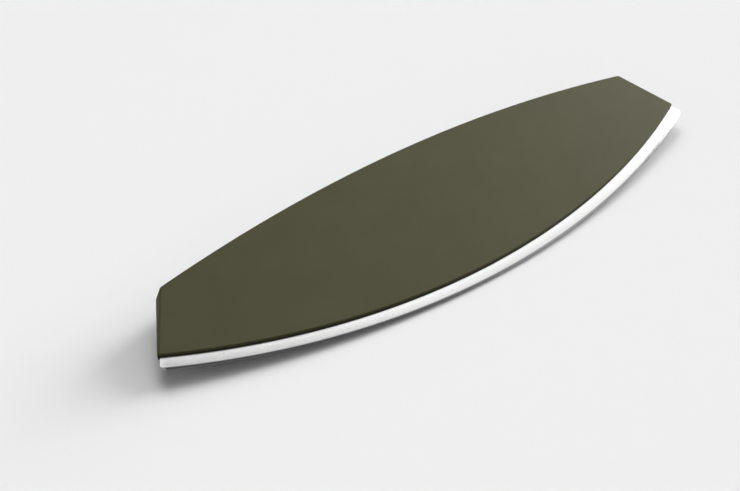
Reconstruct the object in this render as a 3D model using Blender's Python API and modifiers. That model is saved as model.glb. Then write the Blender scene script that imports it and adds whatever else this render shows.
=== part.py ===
"""A rocking herb knife: a curved steel blade pinned between two hollow handle shells.

The knife is drawn on the blade's middle plane: z = 0, x along the knife, y towards the
spine, with y = 0 on the line between the handle's two lower corners. The cutting edge, the
handle's lower side, the pins and the tang all follow circles round one centre above the
knife, and the handle's faces are cones round the same centre: one wedge section, swept
along the blade. Each face is made of flat strips between the cone's straight lines. One
empty lays the knife on the middle strip of its rear face. All sizes are in metres.
"""

import math

import bmesh
import bpy
from mathutils import Matrix, Vector

MM = 0.001

# Handle, at its widest line on the middle plane.
HANDLE_HALF_LENGTH = 182.9 * MM
HANDLE_HEIGHT = 85.5 * MM
LOWER_RADIUS = 432.1 * MM
SPINE_RADIUS = 1127.2 * MM
END_ANGLE = math.radians(27.97)

# Handle section: faces that open like a wedge, an upright lower side, and walls that splay
# outwards at the spine and the ends.
LOWER_THICKNESS = 5.2 * MM
FACE_SLOPE = math.radians(9.9)
SPINE_SPLAY = math.radians(5.5)
END_SPLAY = math.radians(14.9)
CORNER_ROUND = 1.0 * MM
RIM_FILLET = 0.8 * MM

# Handle shells inside.
FACE_WALL = 2.4 * MM
RIM_WALL = 3.4 * MM
LAND_WIDTH = 10.0 * MM
RIB_THICKNESS = 1.6 * MM
RIBS_EACH_SIDE = 5
OUTER_RIB_INSET = 38.5 * MM

# Blade.
BLADE_THICKNESS = 1.6 * MM
STEEL_SHOWING = 7.55 * MM
GRIND_WIDTH = 1.2 * MM
BLADE_END_SETBACK = 1.5 * MM
TIP_CLIP = 0.8 * MM
TIP_SLANT = 2.7 * MM
TANG_DEPTH = 30.0 * MM
TANG_END_INSET = 5.2 * MM

# Steel pins through the tang, blind in both shells.
PIN_RADIUS = 2.0 * MM
PIN_DEPTH = 20.0 * MM
PIN_BOSS_WALL = 2.4 * MM
SOCKET_SKIN = 1.6 * MM

# Moulded pegs along the spine: the rear shell's pegs sit in the front shell's sockets.
PEG_RADIUS = 2.5 * MM
PEG_REACH = 4.0 * MM
PEG_DEPTH = 15.0 * MM
PEG_BOSS_WALL = 2.4 * MM

# Space left between neighbouring pieces.
CLEARANCE = 0.3 * MM

# How finely curves are divided. The strips of a face are an odd number, so that the middle
# one lies level.
FACE_STRIPS = 41
BLADE_STEPS = 40
FILLET_STEPS = 3
CORNER_STEPS = 3
PIN_SIDES = 24

# Helper solids reach this far past what they cut.
OVERCUT = 2.0 * MM

# Points closer than this count as touching.
TOUCHING = 0.03 * MM
SHARPEST_SMOOTH_ANGLE = math.radians(20.0)

# A face whose normal is at least this steep is part of a roof or a floor, not of a wall.
STEEP = 0.5

# Derived places on the middle plane.
LOWER_CENTRE_Y = math.sqrt(LOWER_RADIUS**2 - HANDLE_HALF_LENGTH**2)
LOWER_APEX_Y = LOWER_CENTRE_Y - LOWER_RADIUS
SPINE_APEX_Y = LOWER_APEX_Y + HANDLE_HEIGHT
SPINE_CENTRE_Y = SPINE_APEX_Y - SPINE_RADIUS
CENTRES_APART = LOWER_CENTRE_Y - SPINE_CENTRE_Y
EDGE_RADIUS = LOWER_RADIUS + STEEL_SHOWING
EDGE_APEX_Y = LOWER_CENTRE_Y - EDGE_RADIUS
END_OFFSET = HANDLE_HALF_LENGTH * math.cos(END_ANGLE)
PIN_ROW_RADIUS = LOWER_RADIUS - PIN_DEPTH
PEG_ROW_RADIUS = SPINE_RADIUS - PEG_DEPTH
RIB_PITCH = (HANDLE_HALF_LENGTH - OUTER_RIB_INSET) / RIBS_EACH_SIDE


def face_height(radius):
    """Height of the handle's face above the middle plane at a radius round the lower centre."""
    return LOWER_THICKNESS / 2 + (LOWER_RADIUS - radius) * math.tan(FACE_SLOPE)


def lower_y(radius, x):
    """y at x on a circle round the lower centre, on its side towards the cutting edge."""
    return LOWER_CENTRE_Y - math.sqrt(radius**2 - x**2)


def spine_y(radius, x):
    """y at x on a circle round the spine's centre."""
    return SPINE_CENTRE_Y + math.sqrt(radius**2 - x**2)


def on_lower_circle(radius, angle):
    """Point at an angle from the knife's centre line on a circle round the lower centre."""
    return (radius * math.sin(angle), LOWER_CENTRE_Y - radius * math.cos(angle))


def spine_rim_radius(angle, inset):
    """Radius round the lower centre at which the face meets the spine wall moved in by inset.

    The wall is a cone round the spine's centre, so the place along one of the face's
    straight lines is the nearer root of a quadratic.
    """
    lean = math.tan(SPINE_SPLAY)
    gain = lean * math.tan(FACE_SLOPE)
    reach = SPINE_RADIUS - inset - lean * face_height(0.0)
    half_sum = CENTRES_APART * math.cos(angle) + reach * gain
    product = (1 - gain**2) * (CENTRES_APART**2 - reach**2)
    return (half_sum - math.sqrt(half_sum**2 - product)) / (1 - gain**2)


def end_angle(radius, inset):
    """Angle at which a circle round the lower centre meets the end line moved in by inset."""
    reach = END_OFFSET - inset - LOWER_CENTRE_Y * math.sin(END_ANGLE)
    return END_ANGLE + math.asin(reach / radius)


def spine_corner(inset):
    """Where the spine and the end line meet, both moved in by inset."""
    radius = SPINE_RADIUS - inset
    reach = END_OFFSET - inset - SPINE_CENTRE_Y * math.sin(END_ANGLE)
    x = radius * math.sin(math.asin(reach / radius) - END_ANGLE)
    return (x, spine_y(radius, x))


def end_corner_angles(inset):
    """Angles round the lower centre of the end's two corners, all lines moved in by inset."""
    x, y = spine_corner(inset)
    return (end_angle(LOWER_RADIUS, inset), math.atan2(x, LOWER_CENTRE_Y - y))


def end_lean():
    """How far the end wall leans in at its highest point, the spine's corner."""
    x, y = spine_corner(0.0)
    return math.tan(END_SPLAY) * face_height(math.hypot(x, LOWER_CENTRE_Y - y))


def last_even_angle():
    """The last of the evenly spaced lines of a face, clear of the corners' roundings."""
    return min(end_corner_angles(end_lean() + 2 * CORNER_ROUND))


def fan_angles():
    """Angles of a face's straight lines: evenly spaced, then one past each end."""
    last = last_even_angle()
    outside = max(end_corner_angles(-OVERCUT))
    even = [last * (2 * step / FACE_STRIPS - 1) for step in range(FACE_STRIPS + 1)]
    return [-outside, *even, outside]


def rib_steps():
    """The cross ribs, counted from the one on the centre line."""
    return range(-RIBS_EACH_SIDE, RIBS_EACH_SIDE + 1)


def pin_places():
    """Centres of the pins, on every odd rib."""
    places = [step * RIB_PITCH for step in rib_steps() if step % 2]
    return [(x, lower_y(PIN_ROW_RADIUS, x)) for x in places]


def peg_places():
    """Centres of the moulded pegs, on every even rib."""
    places = [step * RIB_PITCH for step in rib_steps() if step % 2 == 0]
    return [(x, spine_y(PEG_ROW_RADIUS, x)) for x in places]


def pin_half_length():
    """From the middle plane to a pin's end, with a skin left over its socket's edge."""
    outer_edge = PIN_ROW_RADIUS + PIN_RADIUS + CLEARANCE
    return face_height(outer_edge) - SOCKET_SKIN - CLEARANCE


def clear_scene():
    for old in list(bpy.data.objects):
        bpy.data.objects.remove(old, do_unlink=True)


def new_collection(name):
    collection = bpy.data.collections.new(name)
    bpy.context.scene.collection.children.link(collection)
    return collection


def make_material(name, colour, roughness, metallic):
    material = bpy.data.materials.new(name)
    material.use_nodes = True
    shader = material.node_tree.nodes["Principled BSDF"]
    shader.inputs["Base Color"].default_value = (*colour, 1.0)
    shader.inputs["Roughness"].default_value = roughness
    shader.inputs["Metallic"].default_value = metallic
    material.diffuse_color = (*colour, 1.0)
    return material


def olive_plastic():
    return make_material("olive_plastic", (0.088, 0.083, 0.053), 0.55, 0.0)


def brushed_blade_steel():
    return make_material("brushed_blade_steel", (0.62, 0.62, 0.61), 0.3, 1.0)


def pin_steel():
    return make_material("pin_steel", (0.5, 0.5, 0.5), 0.4, 1.0)


def object_from(bm, name, collection, parent):
    """Turns a bmesh into an object on the knife's empty, shaded smooth up to its real edges."""
    bmesh.ops.recalc_face_normals(bm, faces=bm.faces)
    mesh = bpy.data.meshes.new(name)
    bm.to_mesh(mesh)
    bm.free()
    mesh.shade_smooth()
    mesh.set_sharp_from_angle(angle=SHARPEST_SMOOTH_ANGLE)
    obj = bpy.data.objects.new(name, mesh)
    obj.parent = parent
    collection.objects.link(obj)
    return obj


def helper_from(bm, name, collection, parent):
    """Makes an object that only cuts or shapes others."""
    obj = object_from(bm, name, collection, parent)
    obj.hide_render = True
    obj.display_type = "WIRE"
    return obj


def add_boolean(obj, operation, other):
    """Adds a Boolean with an object, or with every object of a collection."""
    modifier = obj.modifiers.new(f"{operation.lower()}_{other.name}", "BOOLEAN")
    modifier.operation = operation
    modifier.solver = "EXACT"
    if isinstance(other, bpy.types.Collection):
        modifier.operand_type = "COLLECTION"
        modifier.collection = other
    else:
        modifier.object = other


def raise_floor(bm, floor, corners, roof):
    """Raises the floor's faces until its corners stand at the roof's points."""
    raised = bmesh.ops.extrude_face_region(bm, geom=floor, use_keep_orig=True)
    lid = {part for part in raised["geom"] if isinstance(part, bmesh.types.BMVert)}
    for start, target in zip(corners, roof):
        above = next(edge.other_vert(start) for edge in start.link_edges if edge.other_vert(start) in lid)
        above.co = target


def raised_outline(base, roof):
    """Fills a closed outline and raises it to a second outline with as many points."""
    bm = bmesh.new()
    corners = [bm.verts.new(point) for point in base]
    raise_floor(bm, [bm.faces.new(corners)], corners, roof)
    return bm


def raised_strips(base_rows, roof_rows):
    """Fills the strip between two rows of points and raises it to two rows of a roof."""
    bm = bmesh.new()
    near, far = [[bm.verts.new(point) for point in row] for row in base_rows]
    quads = zip(near, near[1:], far[1:], far)
    floor = [bm.faces.new(corners) for corners in quads]
    raise_floor(bm, floor, near + far, [*roof_rows[0], *roof_rows[1]])
    return bm


def trim_ends(bm, inset):
    """Cuts both ends off along the splayed end planes, moved in by inset."""
    across = Vector((math.cos(END_ANGLE), math.sin(END_ANGLE), 0.0))
    for side in (1, -1):
        flat_normal = Vector((side * across.x, across.y, 0.0))
        normal = flat_normal * math.cos(END_SPLAY) + Vector((0.0, 0.0, math.sin(END_SPLAY)))
        place = Vector((side * HANDLE_HALF_LENGTH, 0.0, 0.0)) - flat_normal * inset
        everything = bm.verts[:] + bm.edges[:] + bm.faces[:]
        cut = bmesh.ops.bisect_plane(
            bm, geom=everything, plane_co=place, plane_no=normal, clear_outer=True
        )
        rim = [part for part in cut["geom_cut"] if isinstance(part, bmesh.types.BMEdge)]
        bmesh.ops.edgeloop_fill(bm, edges=rim)


def wedge(low_inset, rim_inset, roof_inset, floor):
    """Half a handle above z = floor, with its lower side, splayed walls and face moved in."""
    low_radius = LOWER_RADIUS - low_inset
    wall_radius = SPINE_RADIUS - rim_inset - math.tan(SPINE_SPLAY) * floor
    base_rows, roof_rows = ([], []), ([], [])
    for angle in fan_angles():
        x, y = on_lower_circle(low_radius, angle)
        base_rows[0].append((x, y, floor))
        roof_rows[0].append((x, y, face_height(low_radius) - roof_inset))
        rim_radius = spine_rim_radius(angle, rim_inset)
        x, y = on_lower_circle(rim_radius, angle)
        roof_rows[1].append((x, y, face_height(rim_radius) - roof_inset))
        outwards = Vector((x, y - SPINE_CENTRE_Y)).normalized() * wall_radius
        base_rows[1].append((outwards.x, outwards.y + SPINE_CENTRE_Y, floor))
    bm = raised_strips(base_rows, roof_rows)
    trim_ends(bm, rim_inset)
    bmesh.ops.recalc_face_normals(bm, faces=bm.faces)
    return bm


def is_sharp(edge):
    return edge.calc_face_angle(0.0) > SHARPEST_SMOOTH_ANGLE


def round_handle(bm):
    """Rounds the four upright corners first, then the rim of the face."""
    corners = [
        edge for edge in bm.edges
        if is_sharp(edge) and all(abs(face.normal.z) < STEEP for face in edge.link_faces)
    ]
    bmesh.ops.bevel(
        bm, geom=corners, offset=CORNER_ROUND, segments=CORNER_STEPS,
        profile=0.5, affect="EDGES", clamp_overlap=True,
    )
    bm.normal_update()
    rim = [
        edge for edge in bm.edges
        if is_sharp(edge) and any(face.normal.z > STEEP for face in edge.link_faces)
    ]
    bmesh.ops.bevel(
        bm, geom=rim, offset=RIM_FILLET, segments=FILLET_STEPS,
        profile=0.5, affect="EDGES", clamp_overlap=True,
    )


def turn_over(bm):
    """Mirrors a half handle to the rear side of the middle plane."""
    bmesh.ops.transform(bm, matrix=Matrix.Diagonal((1.0, 1.0, -1.0, 1.0)), verts=bm.verts)
    bmesh.ops.reverse_faces(bm, faces=bm.faces)


def rod(place, radius, low, high):
    """An upright cylinder from z = low to z = high."""
    bm = bmesh.new()
    centre = Matrix.Translation((*place, (low + high) / 2))
    bmesh.ops.create_cone(
        bm, cap_ends=True, segments=PIN_SIDES,
        radius1=radius, radius2=radius, depth=high - low, matrix=centre,
    )
    return bm


def slab(x, thickness, reach):
    """A thin upright wall across the whole handle at x."""
    bm = bmesh.new()
    length = HANDLE_HEIGHT + 2 * reach
    centre_y = (LOWER_APEX_Y + SPINE_APEX_Y) / 2
    size = Matrix.Diagonal((thickness, length, 2 * reach, 1.0))
    bmesh.ops.create_cube(bm, size=1.0, matrix=Matrix.Translation((x, centre_y, 0.0)) @ size)
    return bm


def blade_outline(cut_back, grow, z):
    """The plate's outline at height z, its cutting edge drawn in by cut_back.

    The ends slant in from the plate's clipped corners to the cutting edge. grow widens
    only the tang, for the slot that it sits in.
    """
    edge = EDGE_RADIUS - cut_back
    clip_radius = EDGE_RADIUS - GRIND_WIDTH - TIP_CLIP
    shoulder = LOWER_RADIUS + CLEARANCE
    tang_top = LOWER_RADIUS - TANG_DEPTH - grow
    tang_inset = TANG_END_INSET - grow
    slant = TIP_CLIP + TIP_SLANT * (1 - cut_back / GRIND_WIDTH)
    tip = end_angle(edge, BLADE_END_SETBACK + slant)
    tang = end_angle(tang_top, tang_inset)
    right = [on_lower_circle(edge, tip * step / BLADE_STEPS) for step in range(BLADE_STEPS + 1)]
    right += [
        on_lower_circle(clip_radius, end_angle(clip_radius, BLADE_END_SETBACK)),
        on_lower_circle(shoulder, end_angle(shoulder, BLADE_END_SETBACK)),
        on_lower_circle(shoulder, end_angle(shoulder, tang_inset)),
    ]
    right += [
        on_lower_circle(tang_top, tang * (1 - step / BLADE_STEPS)) for step in range(BLADE_STEPS + 1)
    ]
    left = [(-x, y) for x, y in reversed(right[1:-1])]
    return [(x, y, z) for x, y in right + left]


def blade_body(parts, pin_holes, parent):
    """The plate: half of it above the middle plane, with its ground edge, then mirrored."""
    bm = raised_outline(
        blade_outline(0.0, 0.0, 0.0),
        blade_outline(GRIND_WIDTH, 0.0, BLADE_THICKNESS / 2),
    )
    open_side = [face for face in bm.faces if all(vert.co.z == 0.0 for vert in face.verts)]
    bmesh.ops.delete(bm, geom=open_side, context="FACES_ONLY")
    blade = object_from(bm, "blade", parts, parent)
    mirror = blade.modifiers.new("other_half", "MIRROR")
    mirror.use_axis = (False, False, True)
    mirror.merge_threshold = TOUCHING
    add_boolean(blade, "DIFFERENCE", pin_holes)
    blade.data.materials.append(brushed_blade_steel())


def tang_slot(helpers, parent):
    """The space that both shells leave for the tang."""
    depth = BLADE_THICKNESS / 2 + CLEARANCE
    bm = raised_outline(blade_outline(0.0, CLEARANCE, -depth), blade_outline(0.0, CLEARANCE, depth))
    return helper_from(bm, "tang_slot", helpers, parent)


def stiffener_helpers(collection, parent):
    """Ribs and bosses: what stays when the handle is hollowed."""
    reach = HANDLE_HEIGHT / 2
    for number, step in enumerate(rib_steps()):
        rib = slab(step * RIB_PITCH, RIB_THICKNESS, reach)
        helper_from(rib, f"rib_{number}", collection, parent)
    for number, place in enumerate(pin_places()):
        boss = rod(place, PIN_RADIUS + CLEARANCE + PIN_BOSS_WALL, -reach, reach)
        helper_from(boss, f"pin_boss_{number}", collection, parent)
    for number, place in enumerate(peg_places()):
        boss = rod(place, PEG_RADIUS + CLEARANCE + PEG_BOSS_WALL, -reach, reach)
        helper_from(boss, f"peg_boss_{number}", collection, parent)


def pin_hole_helpers(collection, parent):
    """The holes through the tang and into both shells."""
    reach = pin_half_length() + CLEARANCE
    for number, place in enumerate(pin_places()):
        hole = rod(place, PIN_RADIUS + CLEARANCE, -reach, reach)
        helper_from(hole, f"pin_hole_{number}", collection, parent)


def peg_helpers(sockets, pegs, parent):
    """The front shell's sockets and the rear shell's pegs."""
    for number, place in enumerate(peg_places()):
        socket = rod(place, PEG_RADIUS + CLEARANCE, -OVERCUT, PEG_REACH + CLEARANCE)
        helper_from(socket, f"peg_socket_{number}", sockets, parent)
        peg = rod(place, PEG_RADIUS, -PEG_REACH, PEG_REACH)
        helper_from(peg, f"peg_{number}", pegs, parent)


def handle_shell(name, on_rear, parts, helpers, stiffeners, slot, pin_holes, parent):
    """One moulded half of the handle: a rounded wedge, hollowed between its ribs and bosses."""
    outer = wedge(0.0, 0.0, 0.0, CLEARANCE / 2)
    round_handle(outer)
    hollow = wedge(LAND_WIDTH, RIM_WALL, FACE_WALL, -OVERCUT)
    if on_rear:
        turn_over(outer)
        turn_over(hollow)
    shell = object_from(outer, name, parts, parent)
    hollow = helper_from(hollow, f"{name}_hollow", helpers, parent)
    add_boolean(hollow, "DIFFERENCE", stiffeners)
    add_boolean(shell, "DIFFERENCE", hollow)
    add_boolean(shell, "DIFFERENCE", slot)
    add_boolean(shell, "DIFFERENCE", pin_holes)
    shell.data.materials.append(olive_plastic())
    return shell


def tang_pins(parts, parent):
    """The pins, which share one mesh and stand at their own places."""
    half_length = pin_half_length()
    steel = pin_steel()
    first = None
    for number, (x, y) in enumerate(pin_places(), start=1):
        name = f"tang_pin_{number}"
        if first is None:
            pin = object_from(rod((0.0, 0.0), PIN_RADIUS, -half_length, half_length), name, parts, parent)
            pin.data.materials.append(steel)
            first = pin
        else:
            pin = bpy.data.objects.new(name, first.data)
            pin.parent = parent
            parts.objects.link(pin)
        pin.location = (x, y, 0.0)


def lay_on_rear_face():
    """The empty that tips the drawing plane until the rear face's middle strip is on z = 0.

    It also centres the knife on y = 0, between the cutting edge and whichever reaches
    further at the spine: the seam, or the rear face's rim where its fillet starts.
    """
    beside_middle = last_even_angle() / FACE_STRIPS
    rim_radius = spine_rim_radius(beside_middle, 0.0)
    near_y = on_lower_circle(LOWER_RADIUS, beside_middle)[1]
    rim_y = on_lower_circle(rim_radius, beside_middle)[1]
    rim_height = face_height(rim_radius)
    tilt = math.atan2(rim_height - face_height(LOWER_RADIUS), rim_y - near_y)
    lift = face_height(LOWER_RADIUS) * math.cos(tilt) - near_y * math.sin(tilt)

    fillet_y = rim_y + RIM_FILLET * math.sin(SPINE_SPLAY)
    fillet_height = rim_height - RIM_FILLET * math.cos(SPINE_SPLAY)
    rim_reach = fillet_y * math.cos(tilt) + fillet_height * math.sin(tilt)
    seam_reach = SPINE_APEX_Y * math.cos(tilt)
    lowest = EDGE_APEX_Y * math.cos(tilt)
    empty = bpy.data.objects.new("knife_lying", None)
    empty.location = (0.0, -(lowest + max(rim_reach, seam_reach)) / 2, lift)
    empty.rotation_euler = (tilt, 0.0, 0.0)
    return empty


def build():
    clear_scene()
    parts = new_collection("herb_knife")
    helpers = new_collection("helpers")
    stiffeners = new_collection("stiffeners")
    pin_holes = new_collection("pin_holes")
    sockets = new_collection("peg_sockets")
    pegs = new_collection("pegs")

    lying = lay_on_rear_face()
    parts.objects.link(lying)
    stiffener_helpers(stiffeners, lying)
    pin_hole_helpers(pin_holes, lying)
    peg_helpers(sockets, pegs, lying)
    slot = tang_slot(helpers, lying)

    blade_body(parts, pin_holes, lying)
    shared = (parts, helpers, stiffeners, slot, pin_holes, lying)
    front = handle_shell("front_shell", False, *shared)
    add_boolean(front, "DIFFERENCE", sockets)
    rear = handle_shell("rear_shell", True, *shared)
    add_boolean(rear, "UNION", pegs)
    tang_pins(parts, lying)


build()
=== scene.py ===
"""Looks of a rocking herb knife: moulded olive handle shells and a brushed, ground steel blade.

The pieces are drawn as the knife's solids are, on the blade's middle plane: z = 0, x along the
knife and y towards the spine, with y = 0 on the line between the handle's lower corners. The
drawing is then laid on the middle of its rear face. All sizes are in metres.
"""

import logging
import math
from dataclasses import dataclass, field
from enum import Enum
from typing import Any, Callable

import bmesh
import bpy
from mathutils import Matrix, Vector


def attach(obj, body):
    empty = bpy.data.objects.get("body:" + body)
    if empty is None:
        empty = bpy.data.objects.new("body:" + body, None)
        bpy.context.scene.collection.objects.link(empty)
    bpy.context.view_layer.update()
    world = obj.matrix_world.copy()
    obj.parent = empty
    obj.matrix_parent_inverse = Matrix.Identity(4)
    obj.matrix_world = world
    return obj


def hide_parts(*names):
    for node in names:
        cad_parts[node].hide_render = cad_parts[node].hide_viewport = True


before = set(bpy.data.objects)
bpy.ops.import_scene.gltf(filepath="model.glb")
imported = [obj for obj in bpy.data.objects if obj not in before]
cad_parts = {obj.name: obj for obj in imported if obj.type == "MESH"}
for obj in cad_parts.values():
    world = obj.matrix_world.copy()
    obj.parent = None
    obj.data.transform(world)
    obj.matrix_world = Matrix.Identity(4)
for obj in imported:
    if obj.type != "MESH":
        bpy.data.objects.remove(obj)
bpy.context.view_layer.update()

LOG = logging.getLogger("herb_knife")
MM = 0.001
BODY = "root"
PLATE_UV = "plate"
# A point this close to a line or plane of the drawing counts as on it.
TOUCHING = 0.02 * MM
# Faces and edges smaller than this are left over from the cutting, and go.
SLIVER = 0.002 * MM
# Edges that turn more than this are shaded sharp.
SHARP_TURN = math.radians(32.0)
# Nearly all of a noise texture's values lie in this range.
NOISE_RANGE = (0.3, 0.7)
# The Mix node's colour sockets share their names with others, so they go by number.
MIX_FACTOR, MIX_FIRST, MIX_SECOND, MIX_RESULT = 0, 6, 7, 2

Pair = tuple[float, float]
Point = tuple[float, float, float]
Colour = tuple[float, float, float]


class Side(Enum):
    """The two halves of the handle, by the way that their large face looks."""

    FRONT = 1
    REAR = -1


class Slot(Enum):
    """The record's material slots."""

    HANDLE = "handle_plastic"
    BLADE = "blade_steel"
    PINS = "pin_steel"


def rod(
    bm: bmesh.types.BMesh, place: Pair, radius: float, low: float, high: float, sides: int
) -> None:
    """Adds an upright cylinder.

    Args:
        bm: Mesh that takes the cylinder.
        place: Its centre on the drawing plane.
        radius: Its radius.
        low: Height of its lower end.
        high: Height of its upper end.
        sides: How many sides it has.
    """
    centre = Matrix.Translation((*place, (low + high) / 2))
    bmesh.ops.create_cone(
        bm, cap_ends=True, segments=sides,
        radius1=radius, radius2=radius, depth=high - low, matrix=centre,
    )


def cut_away(bm: bmesh.types.BMesh, place: Vector, outward: Vector) -> None:
    """Cuts a solid along a plane and closes the cut.

    Args:
        bm: The solid.
        place: A point on the plane.
        outward: The plane's normal, towards the side that goes.
    """
    everything = bm.verts[:] + bm.edges[:] + bm.faces[:]
    cut = bmesh.ops.bisect_plane(
        bm, geom=everything, plane_co=place, plane_no=outward, clear_outer=True
    )
    outline = [part for part in cut["geom_cut"] if isinstance(part, bmesh.types.BMEdge)]
    bmesh.ops.edgeloop_fill(bm, edges=outline)


def round_edges(
    bm: bmesh.types.BMesh, edges: list[bmesh.types.BMEdge], radius: float, segments: int
) -> None:
    """Rounds edges of a solid.

    Args:
        bm: The solid.
        edges: The edges to round.
        radius: The rounding's size.
        segments: How many faces the rounding has across.
    """
    bmesh.ops.bevel(
        bm, geom=edges, offset=radius, segments=segments, profile=0.5,
        affect="EDGES", material=-1, clamp_overlap=True,
    )


def helper_object(bm: bmesh.types.BMesh, name: str) -> bpy.types.Object:
    """Makes a solid that only cuts or joins, from a mesh that it takes over.

    Args:
        bm: The solid, which is freed.
        name: The object's name.

    Returns:
        The helper object, linked to the scene.
    """
    bmesh.ops.recalc_face_normals(bm, faces=bm.faces)
    mesh = bpy.data.meshes.new(name)
    bm.to_mesh(mesh)
    bm.free()
    obj = bpy.data.objects.new(name, mesh)
    bpy.context.scene.collection.objects.link(obj)
    return obj


def combine(
    base: bpy.types.Object, steps: list[tuple[str, bpy.types.Object]]
) -> bmesh.types.BMesh:
    """Cuts and joins solids one after another.

    Args:
        base: The object that is cut and joined to.
        steps: Boolean operations with the solid that each uses. All the objects are removed.

    Returns:
        The finished solid.
    """
    for operation, other in steps:
        modifier = base.modifiers.new(other.name, "BOOLEAN")
        modifier.operation = operation
        modifier.solver = "EXACT"
        modifier.object = other
    graph = bpy.context.evaluated_depsgraph_get()
    bm = bmesh.new()
    bm.from_object(base, graph)
    for helper in [base] + [other for _, other in steps]:
        bpy.data.objects.remove(helper, do_unlink=True)
    return bm


class Nodes:
    """A node tree, with short ways to add nodes and join them."""

    def __init__(self, tree: bpy.types.NodeTree) -> None:
        """Takes the node tree of a material or of the world."""
        self.tree = tree

    def add(self, kind: str, inputs: dict[str | int, Any] | None = None, **settings: Any) -> Any:
        """Adds a node.

        Args:
            kind: The node's type, without its ShaderNode prefix.
            inputs: Values or sockets for its inputs, by name or number.
            settings: The node's own settings.

        Returns:
            The node.
        """
        node = self.tree.nodes.new(f"ShaderNode{kind}")
        for name, value in settings.items():
            setattr(node, name, value)
        for name, value in (inputs or {}).items():
            self.give(node.inputs[name], value)
        return node

    def give(self, socket: Any, value: Any) -> None:
        """Sets an input socket to a value, or joins it to an output.

        Args:
            socket: The input socket.
            value: A plain value, or the output socket that it is joined to.
        """
        if isinstance(value, bpy.types.NodeSocket):
            self.tree.links.new(value, socket)
        else:
            socket.default_value = value


class Graph(Nodes):
    """A material with a Principled shader."""

    def __init__(self, name: str) -> None:
        """Makes the material.

        Args:
            name: Its name.
        """
        self.material = bpy.data.materials.new(name)
        self.material.use_nodes = True
        super().__init__(self.material.node_tree)
        self.shader = self.tree.nodes["Principled BSDF"]

    def shade(self, inputs: dict[str, Any]) -> None:
        """Sets the shader's inputs to values, or joins them to outputs, by name."""
        for name, value in inputs.items():
            self.give(self.shader.inputs[name], value)

    def noise(self, vector: Any, scale: float, detail: float = 2.0, roughness: float = 0.5) -> Any:
        """Adds a noise texture, scale cells to a unit, and returns its value's socket."""
        inputs = {"Vector": vector, "Scale": scale, "Detail": detail, "Roughness": roughness}
        return self.add("TexNoise", inputs).outputs["Fac"]

    def spread(self, noise: Any, results: Pair) -> Any:
        """Maps a noise texture's usual values to a range.

        Args:
            noise: The socket of its value.
            results: The range's low and high end.

        Returns:
            The mapped socket.
        """
        (start, end), (low, high) = NOISE_RANGE, results
        inputs = {"Value": noise, "From Min": start, "From Max": end, "To Min": low, "To Max": high}
        return self.add("MapRange", inputs).outputs["Result"]

    def mix(self, factor: Any, first: Any, second: Any, blend: str = "MIX") -> Any:
        """Mixes two colours.

        Args:
            factor: How much of the second goes in, or its socket.
            first: The first colour, or its socket.
            second: The second colour, or its socket.
            blend: The Mix node's way of blending.

        Returns:
            The socket of the mixed colour.
        """
        inputs = {MIX_FACTOR: factor, MIX_FIRST: first, MIX_SECOND: second}
        node = self.add("Mix", inputs, data_type="RGBA", blend_type=blend)
        return node.outputs[MIX_RESULT]

    def tint(self, colour: Colour, factor: Any) -> Any:
        """Multiplies a colour by a socket's factor, near 1, and returns the result's socket."""
        grey = self.add("CombineColor", {"Red": factor, "Green": factor, "Blue": factor})
        return self.mix(1.0, (*colour, 1.0), grey.outputs["Color"], "MULTIPLY")

    def bump(self, height: Any, depth: float) -> Any:
        """Adds a bump, depth high where height is 1, and returns its normal's socket."""
        node = self.add("Bump", {"Height": height, "Distance": depth, "Strength": 1.0})
        return node.outputs["Normal"]

    def seen_directly(self) -> Any:
        """Adds the test for what the camera sees, itself or in steel.

        Returns:
            The socket, 1 for camera, glossy and transmission rays.
        """
        path = self.add("LightPath")
        seen = path.outputs["Is Camera Ray"]
        for other in ("Is Glossy Ray", "Is Transmission Ray"):
            larger = self.add("Math", {0: seen, 1: path.outputs[other]}, operation="MAXIMUM")
            seen = larger.outputs["Value"]
        return seen


@dataclass(frozen=True)
class MouldedPlastic:
    """Matte dark olive plastic from an evenly etched mould."""

    colour: Colour = (0.097, 0.092, 0.050)
    etch_size: float = 0.32 * MM
    etch_depth: float = 0.012 * MM
    etch_shade: Pair = (0.95, 1.05)
    etch_fineness: float = 0.6
    cloud_size: float = 22.0 * MM
    cloud_shade: Pair = (0.965, 1.035)
    octaves: float = 3.0
    roughness: Pair = (0.55, 0.65)
    specular_level: float = 0.1

    def material(self, name: str) -> bpy.types.Material:
        """Makes the material.

        Args:
            name: Its name.

        Returns:
            The material.
        """
        graph = Graph(name)
        place = graph.add("TexCoord").outputs["Object"]
        etch = graph.noise(place, 1 / self.etch_size, self.octaves, self.etch_fineness)
        cloud = graph.noise(place, 1 / self.cloud_size, self.octaves)
        shades = {0: graph.spread(cloud, self.cloud_shade), 1: graph.spread(etch, self.etch_shade)}
        shade = graph.add("Math", shades, operation="MULTIPLY").outputs["Value"]
        graph.shade({
            "Base Color": graph.tint(self.colour, shade),
            "Roughness": graph.spread(etch, self.roughness),
            "Normal": graph.bump(etch, self.etch_depth),
            "Specular IOR Level": self.specular_level,
        })
        return graph.material


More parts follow.
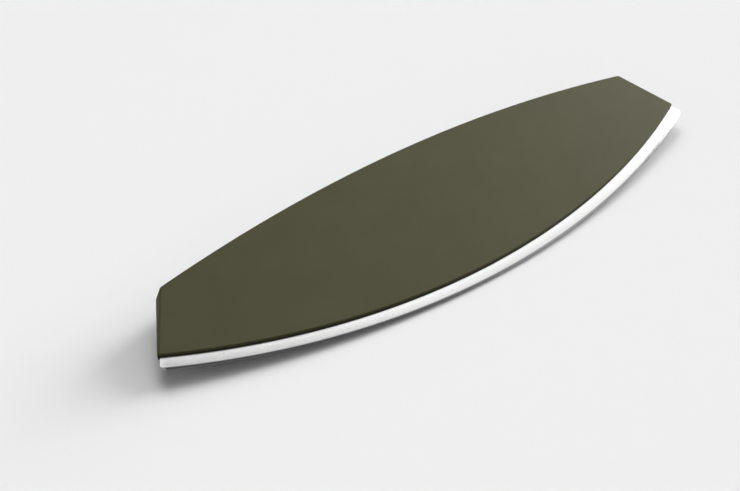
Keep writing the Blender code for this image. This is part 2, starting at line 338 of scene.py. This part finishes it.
@dataclass(frozen=True)
class Steel:
    """Bare steel with fine parallel marks, laid on the plate's own coordinates."""

    colour: Colour
    mark_size: Point
    shade: Pair
    roughness: Pair
    mark_depth: float = 0.0
    octaves: float = 2.0
    fineness: float = 0.5

    def coordinates(self, graph: Graph) -> Any:
        """The socket of the coordinates that the marks run along."""
        return graph.add("UVMap", uv_map=PLATE_UV).outputs["UV"]

    def marked(self, name: str) -> Graph:
        """Makes a material with the marks.

        Args:
            name: The material's name.

        Returns:
            The material's graph.
        """
        graph = Graph(name)
        scale = tuple(1 / size for size in self.mark_size)
        stretch = graph.add("Mapping", {"Vector": self.coordinates(graph), "Scale": scale})
        marks = graph.noise(stretch.outputs["Vector"], 1.0, self.octaves, self.fineness)
        graph.shade({
            "Base Color": graph.tint(self.colour, graph.spread(marks, self.shade)),
            "Roughness": graph.spread(marks, self.roughness),
            "Metallic": 1.0,
        })
        if self.mark_depth:
            graph.shade({"Normal": graph.bump(marks, self.mark_depth)})
        return graph

    def material(self, name: str) -> bpy.types.Material:
        """Makes the finish's material, under a name."""
        return self.marked(name).material


@dataclass(frozen=True)
class BrushedSteel(Steel):
    """Stainless steel with fine lines along the blade."""

    colour: Colour = (0.66, 0.66, 0.655)
    mark_size: Point = (14.0 * MM, 0.09 * MM, 1.0)
    shade: Pair = (0.93, 1.05)
    roughness: Pair = (0.17, 0.27)
    mark_depth: float = 0.0006 * MM
    octaves: float = 3.0
    fineness: float = 0.65
    anisotropy: float = 0.4
    gloss_turn: float = 0.25

    def material(self, name: str) -> bpy.types.Material:
        """Makes the material, with gloss that spreads across its lines.

        Args:
            name: Its name.

        Returns:
            The material.
        """
        graph = self.marked(name)
        tangent = graph.add("Tangent", direction_type="UV_MAP", uv_map=PLATE_UV)
        graph.shade({
            "Tangent": tangent.outputs["Tangent"],
            "Anisotropic": self.anisotropy,
            "Anisotropic Rotation": self.gloss_turn,
        })
        return graph.material


@dataclass(frozen=True)
class GroundSteel(Steel):
    """Steel ground across the edge, brighter and smoother than the brushed plate."""

    colour: Colour = (0.6, 0.61, 0.62)
    mark_size: Point = (0.11 * MM, 3.0 * MM, 1.0)
    shade: Pair = (0.94, 1.04)
    roughness: Pair = (0.14, 0.24)
    mark_depth: float = 0.0008 * MM


@dataclass(frozen=True)
class DowelSteel(Steel):
    """Plain centreless-ground steel of the hidden pins, with faint rings round them."""

    colour: Colour = (0.5, 0.5, 0.5)
    mark_size: Point = (1.0 / 30, 1.0 / 30, 0.2 * MM)
    shade: Pair = (0.9, 1.05)
    roughness: Pair = (0.3, 0.45)

    def coordinates(self, graph: Graph) -> Any:
        """The socket of the object's coordinates, because the pins aren't unrolled."""
        return graph.add("TexCoord").outputs["Object"]


@dataclass(frozen=True)
class KnifeForm:
    """The driving sizes that the handle and the blade share, and what follows from them.

    The cutting edge, the lower side, the pins and the tang follow circles round one centre,
    and the handle's two faces are cones round the same centre.
    """

    half_length: float = 182.9 * MM
    height: float = 85.5 * MM
    lower_radius: float = 432.1 * MM
    spine_radius: float = 1127.2 * MM
    end_angle: float = math.radians(27.97)
    lower_thickness: float = 5.2 * MM
    face_slope: float = math.radians(9.9)
    spine_splay: float = math.radians(5.5)
    end_splay: float = math.radians(14.9)
    rim_fillet: float = 0.8 * MM
    plate_thickness: float = 1.6 * MM
    steel_showing: float = 7.55 * MM
    pin_depth: float = 20.0 * MM
    pin_radius: float = 2.0 * MM
    ribs_each_side: int = 5
    outer_rib_inset: float = 38.5 * MM
    clearance: float = 0.3 * MM
    overcut: float = 2.0 * MM
    arc_steps: int = 205

    @property
    def lower_centre_y(self) -> float:
        """y of the centre of the lower side, the cutting edge and the pin row."""
        return math.sqrt(self.lower_radius**2 - self.half_length**2)

    @property
    def lower_apex_y(self) -> float:
        """y of the handle's lowest point."""
        return self.lower_centre_y - self.lower_radius

    @property
    def spine_apex_y(self) -> float:
        """y of the spine's highest point."""
        return self.lower_apex_y + self.height

    @property
    def spine_centre_y(self) -> float:
        """y of the centre of the spine's arc."""
        return self.spine_apex_y - self.spine_radius

    @property
    def edge_radius(self) -> float:
        """Radius of the cutting edge."""
        return self.lower_radius + self.steel_showing

    @property
    def end_offset(self) -> float:
        """Distance of each end line from the drawing's origin."""
        return self.half_length * math.cos(self.end_angle)

    @property
    def rib_pitch(self) -> float:
        """Distance between neighbouring ribs."""
        return (self.half_length - self.outer_rib_inset) / self.ribs_each_side

    def face_height(self, radius: float) -> float:
        """Height of the face above the middle plane at a radius round the lower centre."""
        return self.lower_thickness / 2 + (self.lower_radius - radius) * math.tan(self.face_slope)

    def spine_rim_radius(self, angle: float, inset: float) -> float:
        """Where one of the face's straight lines meets the splayed spine wall.

        Args:
            angle: The line's angle from the knife's centre line, round the lower centre.
            inset: How far the wall is moved in.

        Returns:
            The radius round the lower centre, the nearer root of a quadratic.
        """
        lean = math.tan(self.spine_splay)
        gain = lean * math.tan(self.face_slope)
        apart = self.lower_centre_y - self.spine_centre_y
        reach = self.spine_radius - inset - lean * self.face_height(0.0)
        half_sum = apart * math.cos(angle) + reach * gain
        product = (1 - gain**2) * (apart**2 - reach**2)
        return (half_sum - math.sqrt(half_sum**2 - product)) / (1 - gain**2)

    def lower_angle(self, radius: float, inset: float) -> float:
        """The angle at which a circle round the lower centre meets the end line, moved in."""
        reach = self.end_offset - inset - self.lower_centre_y * math.sin(self.end_angle)
        return self.end_angle + math.asin(reach / radius)

    def spine_corner(self, inset: float) -> Pair:
        """The radius and angle, round the lower centre, of the corner of spine and end line.

        Args:
            inset: How far both lines are moved in.

        Returns:
            The corner's radius and its angle from the knife's centre line.
        """
        radius = self.spine_radius - inset
        reach = self.end_offset - inset - self.spine_centre_y * math.sin(self.end_angle)
        turn = math.asin(reach / radius) - self.end_angle
        x = radius * math.sin(turn)
        down = self.lower_centre_y - self.spine_centre_y - radius * math.cos(turn)
        return math.hypot(x, down), math.atan2(x, down)

    def corner_angles(self, inset: float) -> Pair:
        """Angles round the lower centre of an end's two corners, all lines moved in by inset."""
        return self.lower_angle(self.lower_radius, inset), self.spine_corner(inset)[1]

    @property
    def end_lean(self) -> float:
        """How far the end wall leans in at its highest point, the spine's corner."""
        return math.tan(self.end_splay) * self.face_height(self.spine_corner(0.0)[0])

    def on_lower(self, radius: float, angle: float, z: float = 0.0) -> Point:
        """The point at an angle on a circle round the lower centre."""
        return (radius * math.sin(angle), self.lower_centre_y - radius * math.cos(angle), z)

    def sweep(self, section: list[Pair], reach: float, past: float = 0.0) -> bmesh.types.BMesh:
        """Spins a closed section about the lower centre.

        Args:
            section: The section's points, as radius and height.
            reach: Angle of the last evenly spaced section at each end.
            past: Angle from there to one more section at each end, if any.

        Returns:
            The closed solid.
        """
        bm = bmesh.new()
        ring = [bm.verts.new(self.on_lower(radius, -reach, z)) for radius, z in section]
        for start, stop in zip(ring, ring[1:] + ring[:1]):
            bm.edges.new((start, stop))
        first = bm.verts[:] + bm.edges[:]
        last = self.spin(bm, first, 2 * reach, self.arc_steps)
        if past:
            self.spin(bm, last, past, 1)
            self.spin(bm, first, -past, 1)
        bmesh.ops.edgeloop_fill(bm, edges=[edge for edge in bm.edges if edge.is_boundary])
        bmesh.ops.recalc_face_normals(bm, faces=bm.faces)
        return bm

    def spin(
        self, bm: bmesh.types.BMesh, section: list[Any], angle: float, steps: int
    ) -> list[Any]:
        """Spins a section's points and edges about the lower centre.

        Args:
            bm: The mesh.
            section: What is spun.
            angle: How far it is spun.
            steps: In how many steps.

        Returns:
            The points and edges of the last section.
        """
        spun = bmesh.ops.spin(
            bm, geom=section, cent=(0.0, self.lower_centre_y, 0.0), axis=(0.0, 0.0, 1.0),
            angle=angle, steps=steps, use_merge=False,
        )
        return spun["geom_last"]

    def polar(self, point: Vector) -> Pair:
        """A point's radius and angle round the lower centre, seen from above."""
        down = self.lower_centre_y - point.y
        return math.hypot(point.x, down), math.atan2(point.x, down)

    def end_plane(self, end: int, inset: float) -> tuple[Vector, Vector]:
        """A point and the outward normal of the upright plane at an end (1 right, -1 left)."""
        outward = Vector((end * math.cos(self.end_angle), math.sin(self.end_angle), 0.0))
        return Vector((end * self.half_length, 0.0, 0.0)) - outward * inset, outward

    def rib_steps(self) -> range:
        """The ribs, counted from the one on the centre line."""
        return range(-self.ribs_each_side, self.ribs_each_side + 1)

    def pin_places(self) -> list[Pair]:
        """Places the tang pins, on every odd rib.

        Returns:
            Their centres on the drawing plane.
        """
        radius = self.lower_radius - self.pin_depth
        places = [step * self.rib_pitch for step in self.rib_steps() if step % 2]
        return [(x, self.lower_centre_y - math.sqrt(radius**2 - x**2)) for x in places]

    def lying(self) -> Matrix:
        """Works out how the drawing is laid on its rear face, centred between edge and rear rim.

        Returns:
            The move, from the drawing to the world.
        """
        tilt = self.face_slope
        rim = self.spine_rim_radius(0.0, 0.0)
        fillet_y = self.lower_centre_y - rim + self.rim_fillet * math.sin(self.spine_splay)
        fillet_height = self.face_height(rim) - self.rim_fillet * math.cos(self.spine_splay)
        lowest = (self.lower_centre_y - self.edge_radius) * math.cos(tilt)
        highest = fillet_y * math.cos(tilt) + fillet_height * math.sin(tilt)
        face = self.face_height(self.lower_radius)
        lift = face * math.cos(tilt) - self.lower_apex_y * math.sin(tilt)
        place = Matrix.Translation((0.0, -(lowest + highest) / 2, lift))
        return place @ Matrix.Rotation(tilt, 4, "X")


@dataclass
class Piece:
    """What every new piece of the knife shares: its form, its nodes and its slot."""

    form: KnifeForm
    name: str
    nodes: tuple[str, ...]
    slot: Slot

    def finish(
        self, bm: bmesh.types.BMesh, materials: list[bpy.types.Material]
    ) -> bpy.types.Object:
        """Args:
            bm: The mesh on the drawing plane, which is freed.
            materials: The piece's finishes, by material index.

        Returns:
            The piece's object.
        """
        bmesh.ops.remove_doubles(bm, verts=bm.verts, dist=SLIVER)
        bmesh.ops.dissolve_degenerate(bm, dist=SLIVER, edges=bm.edges)
        bmesh.ops.transform(bm, matrix=self.form.lying(), verts=bm.verts)
        mesh = bpy.data.meshes.new(self.name)
        bm.to_mesh(mesh)
        bm.free()
        for material in materials:
            mesh.materials.append(material)
        mesh.shade_smooth()
        mesh.set_sharp_from_angle(angle=SHARP_TURN)
        obj = bpy.data.objects.new(self.name, mesh)
        bpy.context.scene.collection.objects.link(obj)
        normals = obj.modifiers.new("flat_faces_stay_flat", "WEIGHTED_NORMAL")
        normals.keep_sharp = True
        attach(obj, BODY)
        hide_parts(*self.nodes)
        return obj


@dataclass
class HandleShell(Piece):
    """One moulded half of the handle: a rounded wedge, hollow between its ribs and bosses."""

    side: Side = Side.FRONT
    plastic: MouldedPlastic = field(default_factory=MouldedPlastic)
    corner_round: float = 1.0 * MM
    corner_segments: int = 8
    rim_fillet: float = 0.9 * MM
    rim_segments: int = 6
    seam_round: float = 0.18 * MM
    seam_segments: int = 2
    face_wall: float = 2.4 * MM
    rim_wall: float = 3.4 * MM
    land_width: float = 10.0 * MM
    rib_thickness: float = 1.6 * MM
    boss_wall: float = 2.4 * MM
    socket_skin: float = 1.6 * MM
    peg_radius: float = 2.5 * MM
    peg_reach: float = 4.0 * MM
    peg_depth: float = 15.0 * MM
    rod_sides: int = 40

    def build(self, blade_cutters: Callable[[], list[bpy.types.Object]]) -> bpy.types.Object:
        """Models the shell and gives it its finish.

        Args:
            blade_cutters: Makes the solids of the space that is left for the plate.

        Returns:
            The shell's object.
        """
        outer = self.wedge(0.0, 0.0, 0.0, self.form.clearance / 2)
        self.round_outside(outer)
        hollow = self.wedge(self.land_width, self.rim_wall, self.face_wall, -self.form.overcut)
        ribbed = combine(helper_object(hollow, "hollow"), [("DIFFERENCE", self.stiffeners())])
        cutters = [helper_object(ribbed, "ribbed_hollow"), *blade_cutters(), self.pin_holes()]
        steps = [("DIFFERENCE", cutter) for cutter in cutters]
        if self.side is Side.FRONT:
            steps.append(("DIFFERENCE", self.peg_row(self.form.clearance)))
        else:
            steps.append(("UNION", self.peg_row(0.0)))
        bm = combine(helper_object(outer, "outer"), steps)
        if self.side is Side.REAR:
            mirrored = Matrix.Diagonal((1.0, 1.0, -1.0, 1.0))
            bmesh.ops.transform(bm, matrix=mirrored, verts=bm.verts)
            bmesh.ops.reverse_faces(bm, faces=bm.faces)
        return self.finish(bm, [self.plastic.material(f"{self.name}_olive")])

    def wedge(
        self, low_inset: float, rim_inset: float, roof_inset: float, floor: float
    ) -> bmesh.types.BMesh:
        """Half a handle above a floor, with its lower side, splayed walls and face moved in.

        A section is spun about the lower centre, which makes the conical face. The spine's
        points then slide along the face's straight lines to the spine wall.

        Args:
            low_inset: How far the lower side is moved in.
            rim_inset: How far the spine and the ends are moved in.
            roof_inset: How far the face is moved in.
            floor: Height of its flat bottom.

        Returns:
            The closed solid.
        """
        form = self.form
        low = form.lower_radius - low_inset
        inner = form.lower_radius - form.height
        section = [(radius, form.face_height(radius) - roof_inset) for radius in (low, inner)]
        # Evenly spaced sections stop short of the ends' corners, and one more lies past them.
        even = min(form.corner_angles(form.end_lean + 2 * self.corner_round))
        past = max(form.corner_angles(-form.overcut)) - even
        bm = form.sweep([(low, floor), *section, (inner, floor)], even, past)
        centre = Vector((0.0, form.spine_centre_y, 0.0))
        wall = form.spine_radius - rim_inset - math.tan(form.spine_splay) * floor
        for vert in bm.verts:
            radius, angle = form.polar(vert.co)
            if abs(radius - inner) > TOUCHING:
                continue
            on_floor = abs(vert.co.z - floor) < TOUCHING
            rim = form.spine_rim_radius(angle, rim_inset)
            vert.co = form.on_lower(rim, angle)
            if on_floor:
                vert.co = centre + (vert.co - centre).normalized() * wall
            vert.co.z = floor if on_floor else form.face_height(rim) - roof_inset
        rise = Vector((0.0, 0.0, math.sin(form.end_splay)))
        for end in (1, -1):
            place, flat = form.end_plane(end, rim_inset)
            cut_away(bm, place, flat * math.cos(form.end_splay) + rise)
        bmesh.ops.recalc_face_normals(bm, faces=bm.faces)
        return bm

    def round_outside(self, bm: bmesh.types.BMesh) -> None:
        """Rounds the upright corners, then the face's rim, then the seam's edge.

        Args:
            bm: The outer wedge.
        """
        sharp, steep = math.radians(12.0), 0.5
        floor = self.form.clearance / 2

        def creases(chosen: Callable[[bmesh.types.BMEdge], bool]) -> list[bmesh.types.BMEdge]:
            """Picks the sharp edges that pass a test."""
            bm.normal_update()
            return [edge for edge in bm.edges if edge.calc_face_angle(0.0) > sharp and chosen(edge)]

        corners = creases(lambda edge: all(abs(face.normal.z) < steep for face in edge.link_faces))
        round_edges(bm, corners, self.corner_round, self.corner_segments)
        rim = creases(lambda edge: any(face.normal.z > steep for face in edge.link_faces))
        round_edges(bm, rim, self.rim_fillet, self.rim_segments)
        seam = creases(lambda edge: all(abs(vert.co.z - floor) < TOUCHING for vert in edge.verts))
        round_edges(bm, seam, self.seam_round, self.seam_segments)

    def peg_places(self) -> list[Pair]:
        """Places the moulded pegs and sockets, on every even rib.

        Returns:
            Their centres on the drawing plane.
        """
        radius = self.form.spine_radius - self.peg_depth
        steps = [step for step in self.form.rib_steps() if step % 2 == 0]
        places = [step * self.form.rib_pitch for step in steps]
        return [(x, self.form.spine_centre_y + math.sqrt(radius**2 - x**2)) for x in places]

    def stiffeners(self) -> bpy.types.Object:
        """Makes the ribs and bosses, which stay when the handle is hollowed.

        Returns:
            The helper solid.
        """
        form = self.form
        reach = form.height / 2
        middle_y = (form.lower_apex_y + form.spine_apex_y) / 2
        pieces = []
        for step in form.rib_steps():
            bm = bmesh.new()
            size = Matrix.Diagonal((self.rib_thickness, 2 * form.height, 2 * reach, 1.0))
            place = Matrix.Translation((step * form.rib_pitch, middle_y, 0.0))
            bmesh.ops.create_cube(bm, size=1.0, matrix=place @ size)
            pieces.append(helper_object(bm, f"rib_{step}"))
        bosses = [(place, form.pin_radius) for place in form.pin_places()]
        bosses += [(place, self.peg_radius) for place in self.peg_places()]
        for place, radius in bosses:
            bm = bmesh.new()
            rod(bm, place, radius + form.clearance + self.boss_wall, -reach, reach, self.rod_sides)
            pieces.append(helper_object(bm, "boss"))
        joined = combine(pieces[0], [("UNION", other) for other in pieces[1:]])
        return helper_object(joined, "stiffeners")

    def pin_holes(self) -> bpy.types.Object:
        """Makes the blind holes for the tang's pins.

        Returns:
            The helper solid.
        """
        form = self.form
        outer_edge = form.lower_radius - form.pin_depth + form.pin_radius + form.clearance
        reach = form.face_height(outer_edge) - self.socket_skin
        bm = bmesh.new()
        for place in form.pin_places():
            rod(bm, place, form.pin_radius + form.clearance, -form.overcut, reach, self.rod_sides)
        return helper_object(bm, "pin_holes")

    def peg_row(self, grow: float) -> bpy.types.Object:
        """The row of pegs, or of sockets for them.

        Args:
            grow: How much wider and deeper than a peg each is.

        Returns:
            The helper solid.
        """
        bm = bmesh.new()
        low = -self.peg_reach if self.side is Side.REAR else -self.form.overcut
        for place in self.peg_places():
            rod(bm, place, self.peg_radius + grow, low, self.peg_reach + grow, self.rod_sides)
        return helper_object(bm, "pegs")


@dataclass
class Blade(Piece):
    """The steel plate: a brushed band with a ground edge, and the tang inside the handle."""

    brushed: BrushedSteel = field(default_factory=BrushedSteel)
    ground: GroundSteel = field(default_factory=GroundSteel)
    grind_width: float = 1.2 * MM
    second_grind: float = 0.5 * MM
    second_height: float = 0.44 * MM
    edge_flat: float = 0.02 * MM
    honed_back: float = 0.01 * MM
    end_setback: float = 1.5 * MM
    tip_clip: float = 0.8 * MM
    tip_slant: float = 2.7 * MM
    tang_depth: float = 30.0 * MM
    tang_inset: float = 5.2 * MM
    mouth_depth: float = 1.5 * MM
    mouth_gap: float = 0.5 * MM
    hole_sides: int = 40
    side_normal: float = 0.1

    @property
    def shoulder(self) -> float:
        """Radius where the tang meets the wider band that shows."""
        return self.form.lower_radius + self.form.clearance

    @property
    def tang_radius(self) -> float:
        """Radius of the tang's inner side."""
        return self.form.lower_radius - self.tang_depth

    @property
    def reach(self) -> float:
        """Angle round the lower centre that is past both ends of the plate."""
        return self.form.lower_angle(self.tang_radius, -self.form.overcut)

    def build(self) -> bpy.types.Object:
        """Models the plate and gives it its finishes.

        Returns:
            The blade's object.
        """
        half = self.form.plate_thickness / 2
        edge = self.form.edge_radius - self.honed_back
        upper = [
            (self.tang_radius, half), (self.shoulder, half), (edge - self.grind_width, half),
            (edge - self.second_grind, self.second_height), (edge, self.edge_flat),
        ]
        plate = self.form.sweep(upper + [(radius, -z) for radius, z in reversed(upper)], self.reach)
        for end in (-1, 1):
            cut_away(plate, *self.form.end_plane(end, self.end_setback))
            cut_away(plate, *self.tip_plane(end))
        steps = [("DIFFERENCE", self.tang_end(end)) for end in (-1, 1)]
        steps.append(("DIFFERENCE", self.pin_holes()))
        bm = combine(helper_object(plate, "plate"), steps)
        self.mark_ground_faces(bm)
        self.unroll(bm)
        brushed = self.brushed.material("blade_brushed_steel")
        return self.finish(bm, [brushed, self.ground.material("blade_ground_edge")])

    def tip_plane(self, end: int) -> tuple[Vector, Vector]:
        """The plane that clips the sharp corner at an end of the edge.

        Args:
            end: 1 for the right end, -1 for the left.

        Returns:
            A point on the plane and its outward normal.
        """
        form = self.form
        inset = self.end_setback + self.tip_clip + self.tip_slant
        low_angle = end * form.lower_angle(form.edge_radius, inset)
        low = Vector(form.on_lower(form.edge_radius, low_angle))
        inner = form.edge_radius - self.grind_width - self.tip_clip
        high = Vector(form.on_lower(inner, end * form.lower_angle(inner, self.end_setback)))
        along = high - low
        outward = Vector((along.y, -along.x, 0.0)).normalized() * end
        return low, outward

    def tang_end(self, end: int) -> bpy.types.Object:
        """Makes what is taken off an end of the plate, so that the tang fits inside the shells.

        Args:
            end: 1 for the right end, -1 for the left.

        Returns:
            The helper solid.
        """
        bm = self.slab(self.tang_radius - self.form.overcut, self.form.plate_thickness)
        place, outward = self.form.end_plane(end, self.tang_inset)
        cut_away(bm, place, -outward)
        return helper_object(bm, "tang_end")

    def slab(self, radius: float, high: float) -> bmesh.types.BMesh:
        """Makes a curved slab, twice high thick, along the tang from a radius to the shoulder."""
        section = [(radius, -high), (radius, high), (self.shoulder, high), (self.shoulder, -high)]
        return self.form.sweep(section, self.reach)

    def shell_cutters(self) -> list[bpy.types.Object]:
        """Makes the space that the shells leave for the tang, and the slot's wider mouth.

        Returns:
            The two helper solids.
        """
        gap = self.form.clearance
        half = self.form.plate_thickness / 2
        slot = self.slab(self.tang_radius - gap, half + gap)
        for end in (-1, 1):
            cut_away(slot, *self.form.end_plane(end, self.tang_inset - gap))
        mouth = self.slab(self.form.lower_radius - self.mouth_depth, half + self.mouth_gap)
        return [helper_object(slot, "tang_slot"), helper_object(mouth, "slot_mouth")]

    def pin_holes(self) -> bpy.types.Object:
        """Makes the holes through the tang.

        Returns:
            The helper solid.
        """
        bm = bmesh.new()
        radius = self.form.pin_radius + self.form.clearance
        reach = self.form.plate_thickness
        for place in self.form.pin_places():
            rod(bm, place, radius, -reach, reach, self.hole_sides)
        return helper_object(bm, "tang_holes")

    def mark_ground_faces(self, bm: bmesh.types.BMesh) -> None:
        """Gives the ground faces along the edge the second finish, and not the plate's sides.

        Args:
            bm: The whole plate.
        """
        flat_part = self.form.edge_radius - self.honed_back - self.grind_width
        for face in bm.faces:
            radii = [self.form.polar(vert.co)[0] for vert in face.verts]
            ground = min(radii) > flat_part - TOUCHING
            face.material_index = int(ground and abs(face.normal.z) > self.side_normal)

    def unroll(self, bm: bmesh.types.BMesh) -> None:
        """Maps the plate by its length along the blade and its distance from the lower centre.

        Args:
            bm: The whole plate.
        """
        layer = bm.loops.layers.uv.new(PLATE_UV)
        for face in bm.faces:
            for loop in face.loops:
                radius, angle = self.form.polar(loop.vert.co)
                loop[layer].uv = (angle * self.form.edge_radius, radius)


@dataclass
class TangPins:
    """The six hidden dowel pins, which stay as the solids are."""

    steel: DowelSteel = field(default_factory=DowelSteel)

    def dress(self) -> list[bpy.types.Object]:
        """Gives the pins their finish.

        Returns:
            The pins.
        """
        material = self.steel.material("dowel_steel")
        names = sorted(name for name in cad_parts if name.startswith("tang_pin"))
        pins = [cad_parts[name] for name in names]
        for pin in pins:
            pin.data.materials.clear()
            pin.data.materials.append(material)
        return pins


@dataclass(frozen=True)
class Panel:
    """A soft rectangular lamp that faces the middle of the knife."""

    name: str
    place: Point
    size: Pair
    power: float

    def build(self) -> None:
        """Makes the lamp."""
        lamp = bpy.data.lights.new(self.name, "AREA")
        lamp.shape = "RECTANGLE"
        lamp.size, lamp.size_y = self.size
        lamp.energy = self.power
        obj = bpy.data.objects.new(self.name, lamp)
        obj.location = self.place
        obj.rotation_mode = "QUATERNION"
        obj.rotation_quaternion = (-Vector(self.place)).to_track_quat("-Z", "Y")
        bpy.context.scene.collection.objects.link(obj)


@dataclass(frozen=True)
class Glow:
    """A soft bright patch of the room, far away, with its azimuth and elevation in degrees."""

    azimuth: float
    elevation: float
    strength: float
    core: float = math.radians(7.2)
    edge: float = math.radians(24.0)

    def add(self, nodes: Nodes, towards: Any) -> Any:
        """Adds the patch to the world.

        Args:
            nodes: The world's nodes.
            towards: The socket of the direction that is looked at.

        Returns:
            The socket of the patch's strength.
        """
        turn, rise = math.radians(self.azimuth), math.radians(self.elevation)
        level = math.cos(rise)
        middle = (math.sin(turn) * level, math.cos(turn) * level, math.sin(rise))
        nearness = nodes.add("VectorMath", {0: towards, 1: middle}, operation="DOT_PRODUCT")
        falloff = {
            "Value": nearness.outputs["Value"], "From Min": math.cos(self.edge),
            "From Max": math.cos(self.core), "To Max": self.strength,
        }
        return nodes.add("MapRange", falloff, interpolation_type="SMOOTHSTEP").outputs["Result"]


@dataclass
class Studio:
    """A pale floor, soft light and the camera at the photographed angle."""

    floor_size: float = 40.0
    floor_gap: float = 0.02 * MM
    floor_colour: Colour = (0.87, 0.87, 0.87)
    bounce_colour: Colour = (0.18, 0.16, 0.14)
    azimuth: float = math.radians(-35.77)
    elevation: float = math.radians(42.5)
    distance: float = 666.8 * MM
    target: Point = (-41.43 * MM, 15.49 * MM, -0.76 * MM)
    focal_length: float = 57.57
    sensor_width: float = 36.0
    panels: tuple[Panel, ...] = (Panel("top_panel", (0.15, 0.1, 0.8), (0.5, 0.5), 0.31),)
    room_light: float = 0.1
    glows: tuple[Glow, ...] = (
        Glow(-165.0, 14.0, 0.35),
        Glow(-130.0, 14.0, 0.35),
        Glow(-90.0, 14.0, 0.35),
        Glow(-50.0, 14.0, 1.05),
        Glow(25.0, 42.0, 4.55),
        Glow(55.0, 42.0, 1.64),
        Glow(85.0, 14.0, 16.5),
        Glow(90.0, 66.0, 0.22),
        Glow(105.0, 42.0, 0.41),
        Glow(130.0, 14.0, 0.35),
        Glow(135.0, 42.0, 0.15),
    )

    def build(self) -> None:
        """Makes the floor, the lamps, the world and the camera."""
        self.build_floor()
        for panel in self.panels:
            panel.build()
        self.build_world()
        self.build_camera()
        bpy.context.scene.view_settings.view_transform = "Standard"

    def build_floor(self) -> None:
        """Makes the pale floor, which keeps the shadow and bounces less light than it shows."""
        bm = bmesh.new()
        bmesh.ops.create_grid(bm, x_segments=1, y_segments=1, size=self.floor_size / 2)
        bmesh.ops.translate(bm, vec=(0.0, 0.0, -self.floor_gap), verts=bm.verts)
        mesh = bpy.data.meshes.new("floor")
        bm.to_mesh(mesh)
        bm.free()
        floor = bpy.data.objects.new("floor", mesh)
        bpy.context.scene.collection.objects.link(floor)
        graph = Graph("floor_white")
        bounce, shown = (*self.bounce_colour, 1.0), (*self.floor_colour, 1.0)
        graph.shade({
            "Base Color": graph.mix(graph.seen_directly(), bounce, shown),
            "Roughness": 1.0,
            "Specular IOR Level": 0.0,
        })
        mesh.materials.append(graph.material)

    def build_world(self) -> None:
        """Makes a dim room with soft bright patches round it."""
        world = bpy.data.worlds.new("studio")
        world.use_nodes = True
        bpy.context.scene.world = world
        nodes = Nodes(world.node_tree)
        towards = nodes.add("TexCoord").outputs["Generated"]
        total: Any = self.room_light
        for glow in self.glows:
            both = {0: total, 1: glow.add(nodes, towards)}
            total = nodes.add("Math", both, operation="ADD").outputs["Value"]
        background = world.node_tree.nodes["Background"]
        background.inputs["Color"].default_value = (1.0, 1.0, 1.0, 1.0)
        nodes.give(background.inputs["Strength"], total)

    def build_camera(self) -> None:
        """Makes the camera."""
        data = bpy.data.cameras.new("camera")
        data.lens = self.focal_length
        data.sensor_width = self.sensor_width
        camera = bpy.data.objects.new("camera", data)
        level = math.cos(self.elevation)
        across, along = math.sin(self.azimuth) * level, -math.cos(self.azimuth) * level
        back = Vector((across, along, math.sin(self.elevation)))
        camera.location = Vector(self.target) + back * self.distance
        camera.rotation_mode = "QUATERNION"
        camera.rotation_quaternion = (-back).to_track_quat("-Z", "Y")
        bpy.context.scene.collection.objects.link(camera)
        bpy.context.scene.camera = camera


def main() -> None:
    """Builds the knife's pieces in order and reports each, then builds the studio."""
    logging.basicConfig(level=logging.INFO, format="%(name)s %(message)s")
    form = KnifeForm()
    blade = Blade(form, "blade_plate", ("blade",), Slot.BLADE)
    pieces = [blade.build()]
    for side, node in ((Side.FRONT, "front_shell"), (Side.REAR, "rear_shell")):
        shell = HandleShell(form, f"{node}_moulding", (node,), Slot.HANDLE, side=side)
        pieces.append(shell.build(blade.shell_cutters))
    pieces += TangPins().dress()
    for piece in pieces:
        LOG.info("%s: %d faces", piece.name, len(piece.data.polygons))
    Studio().build()


if __name__ == "__main__":
    main()
